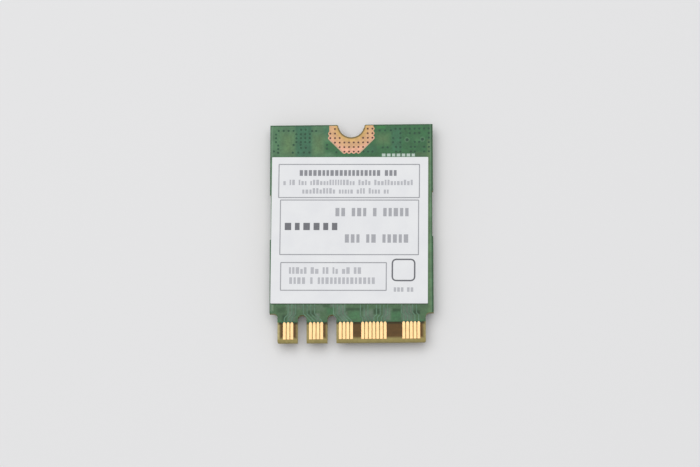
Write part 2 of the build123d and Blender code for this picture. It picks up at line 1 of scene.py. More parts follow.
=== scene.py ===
# %% [markdown]
# # A laptop wifi card
#
# This lesson dresses the CAD model of a small plug-in radio card. The CAD model gives every solid
# its true shape. Blender gives each piece its material, and adds what is too thin or too fine for a
# solid, such as print, solder and the tracks under the green mask.

# %% Load the frame
import bpy
import json
import math
from mathutils import Matrix, Vector


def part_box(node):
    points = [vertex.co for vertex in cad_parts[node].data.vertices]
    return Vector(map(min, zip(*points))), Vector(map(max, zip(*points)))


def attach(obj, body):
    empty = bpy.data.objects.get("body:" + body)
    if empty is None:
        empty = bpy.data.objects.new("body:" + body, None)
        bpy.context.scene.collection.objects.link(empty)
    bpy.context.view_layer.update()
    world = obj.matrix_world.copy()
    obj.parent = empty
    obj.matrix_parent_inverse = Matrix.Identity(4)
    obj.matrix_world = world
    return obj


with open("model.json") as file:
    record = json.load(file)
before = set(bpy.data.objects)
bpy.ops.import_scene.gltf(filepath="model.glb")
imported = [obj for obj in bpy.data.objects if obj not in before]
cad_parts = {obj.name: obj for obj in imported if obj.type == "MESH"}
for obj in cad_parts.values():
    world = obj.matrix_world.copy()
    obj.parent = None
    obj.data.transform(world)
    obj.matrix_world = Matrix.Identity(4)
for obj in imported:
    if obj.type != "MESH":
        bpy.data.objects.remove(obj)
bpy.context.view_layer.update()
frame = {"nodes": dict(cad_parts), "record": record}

MM = 0.001
print("CAD nodes:", len(frame["nodes"]))

# %% [markdown]
# ## Places that the pieces share
#
# A track that ends at a contact has to know where the contact is. Such places could be typed in a
# second time, but a change of the CAD model would leave them behind. So they are read from the CAD
# nodes, and only what a box can't tell is written here. Sizes on the card are in millimetres, and are
# multiplied by MM where they enter Blender. The floor and the lamp are in metres, as Blender is.

# %% Read the shared places
mask_low, mask_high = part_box("solder_mask_label_side")
label_low, label_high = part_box("label")

card_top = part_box("laminate_board")[1].y / MM
mask_top = mask_high.z / MM
mask_end = mask_low.y / MM
label_top = label_high.z / MM
label_middle = ((label_low + label_high) / 2 / MM).to_2d()
contact_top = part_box("edge_contacts_label_side")[1].z / MM
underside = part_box("solder_mask_component_side")[0].z / MM
contact_pitch, middle_contact = 0.5, 38
via_pitch = 0.635
connector_x, connector_y = 8.55, 12.6
print("the mask ends at y =", round(mask_end, 2), "and the label's middle is", label_middle)

# %% [markdown]
# ## Camera
#
# A card like this is photographed from far off with a long lens, so its sides look almost parallel.
# The camera could be aimed with angles, but small errors in three angles are hard to tell apart. So
# its place and its three axes come from matching the card's corners to the picture, and go straight
# into its matrix.

# %% Place the camera
camera_data = bpy.data.cameras.new("photo_camera")
camera_data.sensor_width = 36
camera_data.lens = 175.49
camera_data.clip_start = 0.01
camera_data.clip_end = 10
camera = bpy.data.objects.new("photo_camera", camera_data)
bpy.context.scene.collection.objects.link(camera)
bpy.context.scene.camera = camera

right = Vector((0.99914673, -0.00056356, -0.04129761))
up = Vector((0.00947011, 0.97639302, 0.21579386))
backward = Vector((0.04020108, -0.21600082, 0.97556523))
turn = Matrix((right, up, backward)).transposed()
camera_place = Vector((18.2743, -99.3185, 450.4770)) * MM
camera.matrix_world = Matrix.Translation(camera_place) @ turn.to_4x4()
print("camera height in mm:", round(camera.location.z / MM))

# %% [markdown]
# ## Colours and nodes
#
# Colours are written as the hex codes that a paint program shows. Shaders work in linear light, so
# one function converts them. Node trees could be clicked together, but in code they can be read and
# repeated. One function adds a node of any kind: its settings go in as keywords, and each input takes
# a plain value, the output of another node, or a node, which stands for its first output.


# %% Turn a hex code into linear light
def linear(code):
    """Turns an sRGB hex colour into linear red, green, blue and full opacity."""
    channels = [int(code[start:start + 2], 16) / 255 for start in (1, 3, 5)]
    return [c / 12.92 if c <= 0.04045 else ((c + 0.055) / 1.055) ** 2.4 for c in channels] + [1.0]


print("middle grey in linear light:", round(linear("#808080")[0], 3))


# %% Add a node
def add_node(tree, kind, inputs=None, **settings):
    """Adds a node, changes its settings, and fills its inputs with values or links."""
    node = tree.nodes.new(kind)
    for name, value in settings.items():
        setattr(node, name, value)
    for key, value in (inputs or {}).items():
        if isinstance(value, bpy.types.Node):
            value = next(socket for socket in value.outputs if socket.enabled)
        if isinstance(value, bpy.types.NodeSocket):
            tree.links.new(value, node.inputs[key])
        else:
            node.inputs[key].default_value = value
    return node


print("node kinds for shaders:", sum("ShaderNode" in kind for kind in dir(bpy.types)))


# %% Start and end a material
def start_material(name):
    """Makes an empty material, and gives it with its tree and its Object coordinates."""
    material = bpy.data.materials.new(name)
    material.use_nodes = True
    material.node_tree.nodes.clear()
    place = add_node(material.node_tree, "ShaderNodeTexCoord").outputs["Object"]
    return material, material.node_tree, place


def end_material(material, look, relief=None):
    """Closes a material with the standard shader. A relief is its heights, strength and depth in mm."""
    tree = material.node_tree
    if relief:
        heights, strength, depth = relief
        settings = {"Height": heights, "Strength": strength, "Distance": depth * MM}
        look["Normal"] = add_node(tree, "ShaderNodeBump", settings)
    shader = add_node(tree, "ShaderNodeBsdfPrincipled", look)
    add_node(tree, "ShaderNodeOutputMaterial", {"Surface": shader})
    print(material.name, "has", len(tree.nodes), "nodes")


def per_mm(size):
    """Gives the texture scale whose features are about this many millimetres apart."""
    return 1 / (size * MM)


print("texture scale of a 0.1 mm pattern:", round(per_mm(0.1)))

# %% [markdown]
# ## Floor
#
# The card lies on a plain pale sheet. A large square just under it is enough. Its colour could be one
# flat tone, but one as pale as the real sheet throws too much light into the shadows. So the camera,
# mirrors and glass see the pale tone, and the light that bounces off the sheet sees a slightly darker
# one.

# %% Make the floor
floor_size = 3.0
floor_depth = 0.01
half = floor_size / 2
floor_mesh = bpy.data.meshes.new("floor")
corners = ((-half, -half), (half, -half), (half, half), (-half, half))
floor_mesh.from_pydata([(x, y, -floor_depth * MM) for x, y in corners], [], [(0, 1, 2, 3)])
floor = bpy.data.objects.new("floor", floor_mesh)
bpy.context.scene.collection.objects.link(floor)
print("floor:", floor_size, "m square")

# %% Give the floor its two tones
seen_tone, bounced_tone = "#e6e6e7", "#dedede"
pale_sheet, tree, _ = start_material("Pale matte sheet")
path = add_node(tree, "ShaderNodeLightPath").outputs
seen = path["Is Camera Ray"]
for ray in ("Is Glossy Ray", "Is Transmission Ray"):
    seen = add_node(tree, "ShaderNodeMath", {0: seen, 1: path[ray]}, operation="MAXIMUM")
tones = {"Factor": seen, "A": linear(bounced_tone), "B": linear(seen_tone)}
tone = add_node(tree, "ShaderNodeMix", tones, data_type="RGBA")
end_material(pale_sheet, {"Base Color": tone, "Roughness": 0.9, "Specular IOR Level": 0.2})
floor_mesh.materials.append(pale_sheet)

# %% [markdown]
# ## Light
#
# Such a picture is lit by one broad soft box and by white walls all round. The box stands a little
# behind the card and to its left, because the floor is brightest there and the shadows fall forwards
# and to the right. Several small lamps could copy that, but one area lamp gives the same soft edge
# with less to adjust. The world's even grey stands for the walls. Together they light a level surface
# so that a colour comes out about as it is written.

# %% Make the soft box and the walls
soft_box_place = Vector((-0.08, 0.12, 0.75))
soft_box_size = 0.85
soft_box_power = 4.6
wall_strength = 0.42

lamp = bpy.data.lights.new("soft_box", "AREA")
lamp.size = soft_box_size
lamp.energy = soft_box_power
soft_box = bpy.data.objects.new("soft_box", lamp)
soft_box.location = soft_box_place
soft_box.rotation_mode = "QUATERNION"
soft_box.rotation_quaternion = (-soft_box_place).to_track_quat("-Z", "Y")
bpy.context.scene.collection.objects.link(soft_box)

world = bpy.data.worlds.new("white_walls")
world.use_nodes = True
background = world.node_tree.nodes["Background"].inputs
background["Color"].default_value = linear("#ffffff")
background["Strength"].default_value = wall_strength
bpy.context.scene.world = world
bpy.context.scene.view_settings.view_transform = "Standard"
print("soft box:", soft_box_power, "W, walls:", wall_strength)

# %% [markdown]
# ## Patterns that most finishes share
#
# Copper layers inside the board shine through the mask as paler or darker rectangles. They could be
# thin pieces, but they lie inside the lacquer and cast no shadow, so they are painted. A node group
# draws one soft rectangle: it is 1 inside, 0 outside, and fades over a short distance between. It is
# made once, and a function lays a list of coloured rectangles over any colour with it.
#
# Nearly every real surface is also a little uneven. A second function gives soft random spots of a
# given size, for colour, roughness and fine relief, and a third lets a colour wander between two.

# %% Make the soft rectangle
soft_rectangle = bpy.data.node_groups.new("Soft rectangle", "ShaderNodeTree")
for name, kind in (("Place", "Vector"), ("Middle", "Vector"), ("Half Size", "Vector"), ("Fade", "Float")):
    soft_rectangle.interface.new_socket(name, in_out="INPUT", socket_type=f"NodeSocket{kind}")
soft_rectangle.interface.new_socket("Inside", in_out="OUTPUT", socket_type="NodeSocketFloat")
given = add_node(soft_rectangle, "NodeGroupInput").outputs
offset = add_node(
    soft_rectangle, "ShaderNodeVectorMath", {0: given["Place"], 1: given["Middle"]}, operation="SUBTRACT"
)
away = add_node(soft_rectangle, "ShaderNodeVectorMath", {0: offset}, operation="ABSOLUTE")
beyond = add_node(
    soft_rectangle, "ShaderNodeVectorMath", {0: away, 1: given["Half Size"]}, operation="SUBTRACT"
)
sides = add_node(soft_rectangle, "ShaderNodeSeparateXYZ", {0: beyond}).outputs
furthest = add_node(soft_rectangle, "ShaderNodeMath", {0: sides["X"], 1: sides["Y"]}, operation="MAXIMUM")
share = add_node(soft_rectangle, "ShaderNodeMath", {0: furthest, 1: given["Fade"]}, operation="DIVIDE")
inside = add_node(
    soft_rectangle, "ShaderNodeMath", {0: 0.5, 1: share}, operation="SUBTRACT", use_clamp=True
)
add_node(soft_rectangle, "NodeGroupOutput", {"Inside": inside})
print("the soft rectangle has", len(soft_rectangle.nodes), "nodes")


# %% Lay rectangles over a colour
def lay_patches(tree, place, colour, patches):
    """Lays soft rectangles over a colour: each has a middle, a size, a fade, a colour and a cover."""
    for x, y, width, height, fade, tone, cover in patches:
        inside = add_node(
            tree,
            "ShaderNodeGroup",
            node_tree=soft_rectangle,
            inputs={
                "Place": place,
                "Middle": [x * MM, y * MM, 0],
                "Half Size": [width * MM / 2, height * MM / 2, 1],
                "Fade": fade * MM,
            },
        )
        share = add_node(tree, "ShaderNodeMath", {0: inside, 1: cover}, operation="MULTIPLY")
        tones = {"Factor": share, "A": colour, "B": linear(tone)}
        colour = add_node(tree, "ShaderNodeMix", tones, data_type="RGBA")
    return colour


print("one patch adds 3 nodes to a material")

# %% Make soft spots
noise_low, noise_high = 0.35, 0.65


def spots(tree, place, size, low=0.0, high=1.0):
    """Gives soft random spots about size millimetres across, whose values run from low to high."""
    pattern = {"Vector": place, "Scale": per_mm(size), "Detail": 3, "Roughness": 0.55}
    noise = add_node(tree, "ShaderNodeTexNoise", pattern)
    reach = {"Value": noise, "From Min": noise_low, "From Max": noise_high, "To Min": low, "To Max": high}
    return add_node(tree, "ShaderNodeMapRange", reach)


def two_tones(tree, place, size, one, other):
    """Gives a colour that wanders between two hex colours in soft spots."""
    tones = {"Factor": spots(tree, place, size), "A": linear(one), "B": linear(other)}
    return add_node(tree, "ShaderNodeMix", tones, data_type="RGBA")


print("noise from", noise_low, "to", noise_high, "is stretched over the asked range")

# %% [markdown]
# ## Green solder mask
#
# The mask is a thin epoxy lacquer, screened on and baked. It is see-through, so its green depends on
# what lies under it: solid copper makes it a clean blue green, dense tracks make it greyer and paler,
# bare laminate makes it more olive, and an opening in the copper makes it dark. One even green would
# look like paint. So each green below, but the last three, is named for what lies under it, the lists
# say where that is, and a mottle in two sizes keeps the greens from looking flat. The last three are
# painted light along the board's edges: a painted shade line and two painted highlights.

# %% Name the greens
over_ground = "#2b6339"
over_plane = "#48734f"
over_stitching = "#2f6648"
over_field = "#3d6f44"
over_laminate = "#54764a"
over_tracks = "#5b6f5d"
over_mixed = "#42623f"
over_opening = "#1b421f"
thick_lacquer = "#2c7238"
# Painted shade: a dark line along the board's outer edges.
edge_shade_line = "#1d4a27"
# Painted highlight: a paler strip along the board's rounded side rims.
edge_highlight = "#5f8064"
# Painted highlight: a brighter spot on the left rim by the tongue's shoulder.
shoulder_highlight = "#7a9573"
print("most of the mask lies over the ground copper and is", over_ground)

# %% Place the copper under the mask at the antenna end
antenna_end = [
    # x, y, width, height, fade, colour, cover
    (-6.75, 12.9, 8.7, 4.7, 0.9, over_plane, 1.0),
    (-6.5, 12.8, 2.3, 4.4, 0.35, over_stitching, 1.0),
    (-8.6, 12.4, 1.4, 2.6, 1.3, over_laminate, 1.0),
    (-4.4, 12.35, 1.2, 2.3, 1.2, over_laminate, 1.0),
    (-3.0, 14.2, 1.4, 0.9, 0.5, over_stitching, 0.8),
    (-2.75, 11.9, 1.7, 1.5, 0.5, over_ground, 1.0),
    (4.3, 13.0, 1.5, 1.2, 1.1, over_laminate, 0.9),
    (4.0, 14.65, 1.1, 0.3, 0.2, thick_lacquer, 0.9),
    (2.6, 11.6, 1.6, 0.9, 0.6, over_stitching, 0.5),
    (6.1, 12.9, 1.3, 3.4, 0.5, over_stitching, 0.7),
    (8.9, 12.9, 0.7, 1.0, 0.4, over_field, 0.6),
    (9.8, 10.8, 2.2, 0.55, 0.3, over_mixed, 0.9),
]
# The rims carry a painted shade line and painted highlights, and the mask over bare laminate.
rims = [
    (0.0, 14.93, 21.8, 0.16, 0.1, edge_shade_line, 0.9),
    (-10.75, 2.0, 0.2, 25.6, 0.12, edge_highlight, 0.9),
    (-10.96, 2.0, 0.1, 26.0, 0.06, edge_shade_line, 0.7),
    (10.52, 0.0, 0.5, 25.6, 0.3, over_laminate, 0.9),
    (10.68, 2.0, 0.1, 26.0, 0.1, edge_highlight, 0.9),
    (10.9, 2.0, 0.2, 26.0, 0.1, edge_shade_line, 0.9),
]
print("patches at the antenna end:", len(antenna_end), "and along the rims:", len(rims))

# %% Place the copper under the mask at the contact end
contact_end = [
    (-0.2, -10.9, 21.2, 2.3, 0.5, over_mixed, 0.85),
    (-7.65, -10.1, 2.3, 0.65, 0.4, over_tracks, 0.6),
    (-8.05, -11.3, 0.95, 1.4, 0.4, over_tracks, 0.8),
    (-9.46, -10.5, 1.1, 0.7, 0.35, over_opening, 0.65),
    (-9.05, -11.6, 0.55, 0.8, 0.3, over_opening, 1.0),
    (-5.07, -10.25, 2.7, 0.85, 0.4, over_tracks, 0.4),
    (-5.35, -10.95, 1.2, 0.65, 0.3, over_opening, 0.7),
    (-4.53, -11.5, 0.5, 1.0, 0.3, over_tracks, 1.0),
    (-3.45, -10.0, 0.8, 0.3, 0.25, over_opening, 0.7),
    (-2.45, -9.95, 0.75, 0.5, 0.3, over_tracks, 1.0),
    (-2.8, -10.7, 0.95, 0.9, 0.4, over_ground, 0.7),
    (-1.45, -10.6, 1.25, 1.4, 0.5, over_tracks, 1.0),
    (-1.1, -11.5, 0.9, 1.1, 0.4, over_tracks, 0.9),
    (0.43, -10.5, 2.35, 0.42, 0.2, over_opening, 0.8),
    (0.44, -11.3, 1.5, 1.1, 0.4, over_field, 1.0),
    (2.3, -11.3, 1.4, 1.4, 0.5, over_tracks, 0.9),
    (3.4, -10.8, 0.9, 0.7, 0.25, over_opening, 0.95),
    (4.75, -11.2, 0.95, 1.6, 0.4, over_tracks, 1.0),
    (6.05, -10.66, 1.05, 0.45, 0.2, over_opening, 1.0),
    (6.0, -11.4, 1.4, 1.1, 0.4, over_ground, 0.7),
    (7.5, -11.0, 1.5, 2.0, 0.5, over_tracks, 0.9),
    (8.7, -10.95, 1.0, 0.55, 0.2, over_opening, 1.0),
    (10.0, -10.4, 1.4, 0.8, 0.5, over_mixed, 0.9),
    # A painted highlight on the left rim by the tongue's shoulder.
    (-10.7, -10.2, 0.4, 0.8, 0.2, shoulder_highlight, 1.0),
]
print("patches at the contact end:", len(contact_end))


# %% Make the solder mask
def make_mask(name, base, patches=()):
    """Makes the lacquer over one copper pattern, semi-gloss and slightly uneven."""
    material, tree, place = start_material(name)
    ground = add_node(tree, "ShaderNodeRGB").outputs["Color"]
    ground.default_value = linear(base)
    colour = lay_patches(tree, place, ground, patches)
    for size, low, high in ((0.9, 0.86, 1.14), (0.28, 0.9, 1.12)):
        mottle = spots(tree, place, size, low, high)
        colour = add_node(tree, "ShaderNodeVectorMath", {0: colour, "Scale": mottle}, operation="SCALE")
    # The lacquer's real orange peel is about 0.1 mm across. It is drawn at 0.25 mm, so that it shows.
    peel = spots(tree, place, 0.25)
    look = {"Base Color": colour, "Roughness": 0.38, "Specular IOR Level": 0.3}
    end_material(material, look, relief=(peel, 0.12, 0.01))
    return material


mask_label_side = make_mask(
    "Solder mask over a copper pattern", over_ground, antenna_end + contact_end + rims
)
component_side = [
    (side * connector_x, connector_y, 2.6, 2.6, 0.6, over_plane, 1.0) for side in (-1, 1)
]
component_side += [
    (0.0, 10.3, 20.0, 1.0, 0.4, over_plane, 0.8),
    (0.0, -10.9, 19.0, 1.6, 0.5, over_tracks, 0.8),
]
mask_component_side = make_mask("Solder mask of the component side", over_ground, component_side)

# %% [markdown]
# ## Glass and epoxy laminate
#
# The board is woven glass cloth in epoxy, pressed in layers and cut to shape. Where it has no inner
# copper, it lets light in and is olive yellow. Over the inner copper it is a dull brown. Three colours
# on the tongue are painted light: a painted highlight along its left rim, the gold's light painted on
# the thin strips of resin between the contacts, and painted shade right under the mask's edge. The
# cloth could be modelled in layers, but only its cut edge shows them, as fine lines, so bands across
# the thickness do it.

# %% Place the colours of the tongue
bare_laminate = "#978a56"
inner_copper = "#5c4320"
lit_resin = "#94824a"
# Painted light: the rim highlight, the gold's light on the resin, and the shade under the mask's edge.
tongue_edge_highlight = "#b3a677"
shaded_resin = "#2e2a10"
over_copper = ((-8.5, 2.25), (-4.46, 2.1), (4.0, 11.2))
between_contacts = ((-8.5, 1.2), (-4.75, 1.7), (-0.75, 1.7), (3.0, 3.2), (8.0, 2.2))
tongue = [
    *[(x, -12.65, width, 3.4, 0.35, inner_copper, 1.0) for x, width in over_copper],
    # A painted highlight along the tongue's left rim.
    (-9.82, -13.2, 0.3, 2.6, 0.2, tongue_edge_highlight, 1.0),
    *[(x, -13.35, width, 2.4, 0.1, lit_resin, 1.0) for x, width in between_contacts],
    (0.0, mask_end - 0.1, 19.6, 0.4, 0.2, shaded_resin, 0.85),
]
print("patches on the tongue:", len(tongue))

# %% Make the laminate
laminate, tree, place = start_material("Glass and epoxy laminate")
colour = lay_patches(tree, place, linear(bare_laminate), tongue)
# The real layers are about 0.1 mm thick. They are drawn at about a third of the board's 0.8 mm.
layers = add_node(
    tree,
    "ShaderNodeTexWave",
    {"Vector": place, "Scale": per_mm(0.75), "Distortion": 1.5, "Detail": 2},
    bands_direction="Z",
)
layers = add_node(
    tree, "ShaderNodeMapRange", {"Value": layers.outputs["Fac"], "To Min": 0.88, "To Max": 1.08}
)
for pattern in (layers, spots(tree, place, 0.35, 0.9, 1.1)):
    colour = add_node(tree, "ShaderNodeVectorMath", {0: colour, "Scale": pattern}, operation="SCALE")
cloth = spots(tree, place, 0.12)
look = {"Base Color": colour, "Roughness": 0.6, "Specular IOR Level": 0.25}
end_material(laminate, look, relief=(cloth, 0.2, 0.01))

# %% [markdown]
# ## Plated and rolled metals
#
# The edge contacts are copper with nickel and hard gold over it. Plating copies the rolled copper
# below, so the shine is bright but slightly blurred, and plugging in leaves faint lengthwise rubbing.
# The shield is rolled nickel silver, whose grain runs one way. The parts' ends are matte tin, and
# solder that has just set is smoother and brighter.
#
# A metal gets its colour from its reflections, so its base colour is the metal's own. One function
# makes all four. The real grain is a few hundredths of a millimetre wide: it is drawn about three
# times as coarse, so that it shows, and stretched along the way the metal was rolled or rubbed.


# %% Make the metals
roughness_swing = 0.07


def make_metal(name, base, other, spot, roughness, grain, stretch):
    """Makes a metal with soft colour spots, and a grain that is stretched along one axis."""
    material, tree, place = start_material(name)
    colour = two_tones(tree, place, spot, base, other)
    along = add_node(tree, "ShaderNodeMapping", {"Vector": place, "Scale": stretch})
    rough = spots(tree, along, grain, roughness - roughness_swing, roughness + roughness_swing)
    look = {"Base Color": colour, "Metallic": 1.0, "Roughness": rough}
    end_material(material, look, relief=(rough, 0.5, 0.01))
    return material


gold = make_metal("Hard gold plate", "#cea97b", "#c8a376", 0.8, 0.34, 0.08, (1, 0.1, 1))
nickel_silver = make_metal("Rolled nickel silver", "#c1beb6", "#bbb8b0", 1.2, 0.34, 0.06, (0.08, 1, 1))
tin = make_metal("Matte tin plate", "#cfcfcd", "#bcbcba", 0.3, 0.42, 0.05, (1, 1, 1))
solder = make_metal("Reflowed solder", "#d3d3d1", "#bdbdbb", 0.25, 0.28, 0.1, (1, 1, 1))

# %% [markdown]
# ## Coated copper of the screw land
#
# The land round the screw notch is bare copper under a thin clear coat, which gives it a soft pink
# orange. It is drawn yellower towards the notch and pinkest at its far side, and a dull olive line
# runs along the plated wall. Painted rectangles can't follow a round notch, so the distance from the
# notch's centre drives these tints.

# %% Tint the land by its distance from the notch
near_tint, wall_tint = "#ba975e", "#66572f"
land_tints = ((2.0, 2.7, "#be9670"), (2.9, 3.6, "#d09c84"))
land, tree, place = start_material("Coated bare copper")
notch = [0, card_top * MM, mask_top * MM]
from_notch = add_node(tree, "ShaderNodeVectorMath", {0: place, 1: notch}, operation="DISTANCE")
from_notch = from_notch.outputs["Value"]
colour = linear(near_tint)
for start, end, tint in land_tints:
    reached = add_node(
        tree,
        "ShaderNodeMapRange",
        {"Value": from_notch, "From Min": start * MM, "From Max": end * MM},
        interpolation_type="SMOOTHSTEP",
    )
    colour = add_node(
        tree, "ShaderNodeMix", {"Factor": reached, "A": colour, "B": linear(tint)}, data_type="RGBA"
    )
print("tints of the land:", len(land_tints) + 1)

# %% Finish the land
tarnish = spots(tree, place, 0.5, 0.88, 1.1)
colour = add_node(tree, "ShaderNodeVectorMath", {0: colour, "Scale": tarnish}, operation="SCALE")
wall_line = add_node(
    tree, "ShaderNodeMapRange", {"Value": from_notch, "From Min": 1.85 * MM, "From Max": 2.0 * MM}
)
colour = add_node(
    tree, "ShaderNodeMix", {"Factor": wall_line, "A": linear(wall_tint), "B": colour}, data_type="RGBA"
)
brushing = spots(tree, place, 0.12)
look = {"Base Color": colour, "Metallic": 0.5, "Roughness": 0.5}
end_material(land, look, relief=(brushing, 0.2, 0.01))

# %% [markdown]
# ## Label paper
#
# The label is coated white paper with an adhesive back. It is a touch blue, as bright label stock is,
# and the coating gives it a slight sheen. Its fibres are about 0.02 mm wide, too fine to show, so the
# relief is drawn at 0.15 mm, and a broad faint mottle keeps the white from looking flat.

# %% Make the paper
paper, tree, place = start_material("Coated label paper")
colour = two_tones(tree, place, 2.5, "#e4e5e8", "#e8e9eb")
fibres = spots(tree, place, 0.15)
look = {"Base Color": colour, "Roughness": 0.6, "Specular IOR Level": 0.35}
end_material(paper, look, relief=(fibres, 0.1, 0.01))

# %% [markdown]
# ## Moulded, fired and printed finishes
#
# The other finishes are moulded epoxy, pressed ferrite, fired ceramic, glaze and ink, and two
# dark painted shades: one in the screw land's holes and one under the label's lower edge.
# They differ in colour, in the size of their spots and grain, and in how deep the grain is, so one
# function makes them all from those numbers. A mould's grain and a ceramic's pores are about 0.02 mm
# across and are drawn two to four times as coarse. Ink is laid down in dots of about 0.1 mm.


# %% Make the moulded and fired finishes
def make_dull(name, base, other, spot, grain, depth, roughness, coat=0.0):
    """Makes a dull surface with soft spots and a fine grain, whose sizes are in millimetres."""
    material, tree, place = start_material(name)
    colour = two_tones(tree, place, spot, base, other)
    pores = spots(tree, place, grain)
    look = {"Base Color": colour, "Roughness": roughness, "Coat Weight": coat}
    end_material(material, look, relief=(pores, 0.5, depth))
    return material


epoxy = make_dull("Moulded black epoxy", "#232325", "#2c2c2f", 0.6, 0.06, 0.01, 0.6)
ivory = make_dull("Moulded ivory plastic", "#dfd6bf", "#d6ccb2", 0.6, 0.08, 0.004, 0.45)
brown_ceramic = make_dull("Fired brown ceramic", "#8f6f52", "#7e6047", 0.25, 0.04, 0.004, 0.5)
white_ceramic = make_dull("Fired white ceramic", "#e2e3e0", "#d4d5d2", 0.4, 0.05, 0.004, 0.4)
ferrite = make_dull("Pressed grey ferrite", "#3a3a3d", "#303033", 0.3, 0.05, 0.008, 0.65)
glaze = make_dull("Black resistor glaze", "#1b1b1f", "#232327", 0.3, 0.08, 0.002, 0.25, coat=0.4)
# Painted shade: the dark red-brown stands for the shade inside the screw land's holes.
hole_shade = make_dull("Painted shade in the land's holes", "#5c2c1c", "#4c2417", 0.2, 0.05, 0.004, 0.5)
# Painted shadow: this dark strip stands for the shade under the label's lower edge.
label_shadow = make_dull("Painted shadow under the label", "#33452f", "#414f3c", 0.3, 0.05, 0.004, 0.6)

# %% Make the inks
grey_ink = make_dull("Grey thermal print", "#9fa0a6", "#abacb1", 0.12, 0.1, 0.002, 0.55)
pale_ink = make_dull("Pale thermal print", "#b0b1b7", "#babbc0", 0.12, 0.1, 0.002, 0.55)
bold_ink = make_dull("Bold thermal print", "#808187", "#8b8c92", 0.12, 0.1, 0.002, 0.55)
dark_ink = make_dull("Dark thermal print", "#63646a", "#6f7076", 0.12, 0.1, 0.002, 0.55)
white_ink = make_dull("White marking ink", "#b9c8c0", "#aabbb2", 0.12, 0.1, 0.002, 0.5)

# %% [markdown]
# ## Dress the CAD nodes
#
# Each CAD node came in with a flat colour for its slot in the record. The shapes are right, so
# nothing is rebuilt: a loop gives each slot its finished material. Only the component side's mask has
# a copper pattern of its own.

# %% Assign the materials
by_slot = {
    "laminate": laminate,
    "solder_mask": mask_label_side,
    "gold_plating": gold,
    "land_finish": land,
    "label_paper": paper,
    "nickel_silver": nickel_silver,
    "insulator_plastic": ivory,
    "moulding_compound": epoxy,
    "tinned_metal": tin,
    "brown_ceramic": brown_ceramic,
    "white_ceramic": white_ceramic,
    "ferrite": ferrite,
    "resistor_coat": glaze,
}
by_node = {"solder_mask_component_side": mask_component_side}
for part in frame["record"]["subparts"]:
    materials = frame["nodes"][part["node"]].data.materials
    materials.clear()
    materials.append(by_node.get(part["node"], by_slot[part["material_slot"]]))

# %% [markdown]
# ## Geometry Nodes for small repeats
#
# The card is full of repeats: holes, tracks, ruled lines, printed blocks and solder. They could be
# copied in a loop, but a node tree keeps the sizes of one kind together as named inputs. A mesh of
# points or lines says where the copies go. Realize Instances turns them into real faces, and Set
# Material gives them their finish. The result is kept as plain mesh, without its modifier.


# %% Start and end a tree
def start_tree(name, sizes, counts=()):
    """Makes a geometry tree with inputs for a mesh, sizes, whole numbers and a material."""
    tree = bpy.data.node_groups.new(name, "GeometryNodeTree")
    tree.interface.new_socket("Geometry", in_out="INPUT", socket_type="NodeSocketGeometry")
    for size in sizes:
        tree.interface.new_socket(size, in_out="INPUT", socket_type="NodeSocketFloat")
    for count in counts:
        tree.interface.new_socket(count, in_out="INPUT", socket_type="NodeSocketInt")
    tree.interface.new_socket("Material", in_out="INPUT", socket_type="NodeSocketMaterial")
    tree.interface.new_socket("Geometry", in_out="OUTPUT", socket_type="NodeSocketGeometry")
    return tree, add_node(tree, "NodeGroupInput").outputs


def end_tree(tree, geometry, material):
    """Ends a tree with Realize Instances and Set Material."""
    real = add_node(tree, "GeometryNodeRealizeInstances", {"Geometry": geometry})
    finished = add_node(tree, "GeometryNodeSetMaterial", {"Geometry": real, "Material": material})
    add_node(tree, "NodeGroupOutput", {"Geometry": finished})
    print(tree.name, "has", len(tree.nodes), "nodes")


# %% Run a tree, and add its mesh to the card
def grow(tree, points, edges, values, turns=()):
    """Runs a tree on points or lines in millimetres, and gives the result as a plain mesh."""
    places = bpy.data.meshes.new("places")
    places.from_pydata([Vector(point) * MM for point in points], edges, [])
    if turns:
        places.attributes.new("turn", "FLOAT", "POINT").data.foreach_set("value", turns)
    carrier = bpy.data.objects.new("places", places)
    bpy.context.scene.collection.objects.link(carrier)
    modifier = carrier.modifiers.new("Grow", "NODES")
    modifier.node_group = tree
    for socket in tree.interface.items_tree:
        if socket.in_out == "INPUT" and socket.name in values:
            value = values[socket.name]
            is_size = socket.socket_type == "NodeSocketFloat"
            modifier[socket.identifier] = value * MM if is_size else value
    evaluated = carrier.evaluated_get(bpy.context.evaluated_depsgraph_get())
    mesh = bpy.data.meshes.new_from_object(evaluated)
    bpy.data.objects.remove(carrier)
    return mesh


def add_piece(name, mesh):
    """Adds a finished mesh to the card as a piece of its own."""
    mesh.name = name
    piece = bpy.data.objects.new(name, mesh)
    bpy.context.scene.collection.objects.link(piece)
    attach(piece, "root")
    print(name, "has", len(mesh.polygons), "faces")


# %% [markdown]
# ## Holes under the mask
#
# Most of the card's plated holes lie under the mask, which sags into them, so from above each one is
# a small darker dot. They stitch the ground layers together in short rows and columns round the
# places where the radio signals run. A spot texture can't place them so exactly, so a tree puts a
# low flat-topped cone on every point. Each block of holes is written as a start, counts and pitches.

# %% Build the disc tree
disc_tree, given = start_tree("Discs on points", ("Radius", "Tip Radius", "Height"), ("Sides",))
cone = {"Vertices": given["Sides"], "Radius Bottom": given["Radius"]}
cone |= {"Radius Top": given["Tip Radius"], "Depth": given["Height"]}
disc = add_node(disc_tree, "GeometryNodeMeshCone", cone)
discs = add_node(
    disc_tree, "GeometryNodeInstanceOnPoints", {"Points": given["Geometry"], "Instance": disc}
)
end_tree(disc_tree, discs, given["Material"])

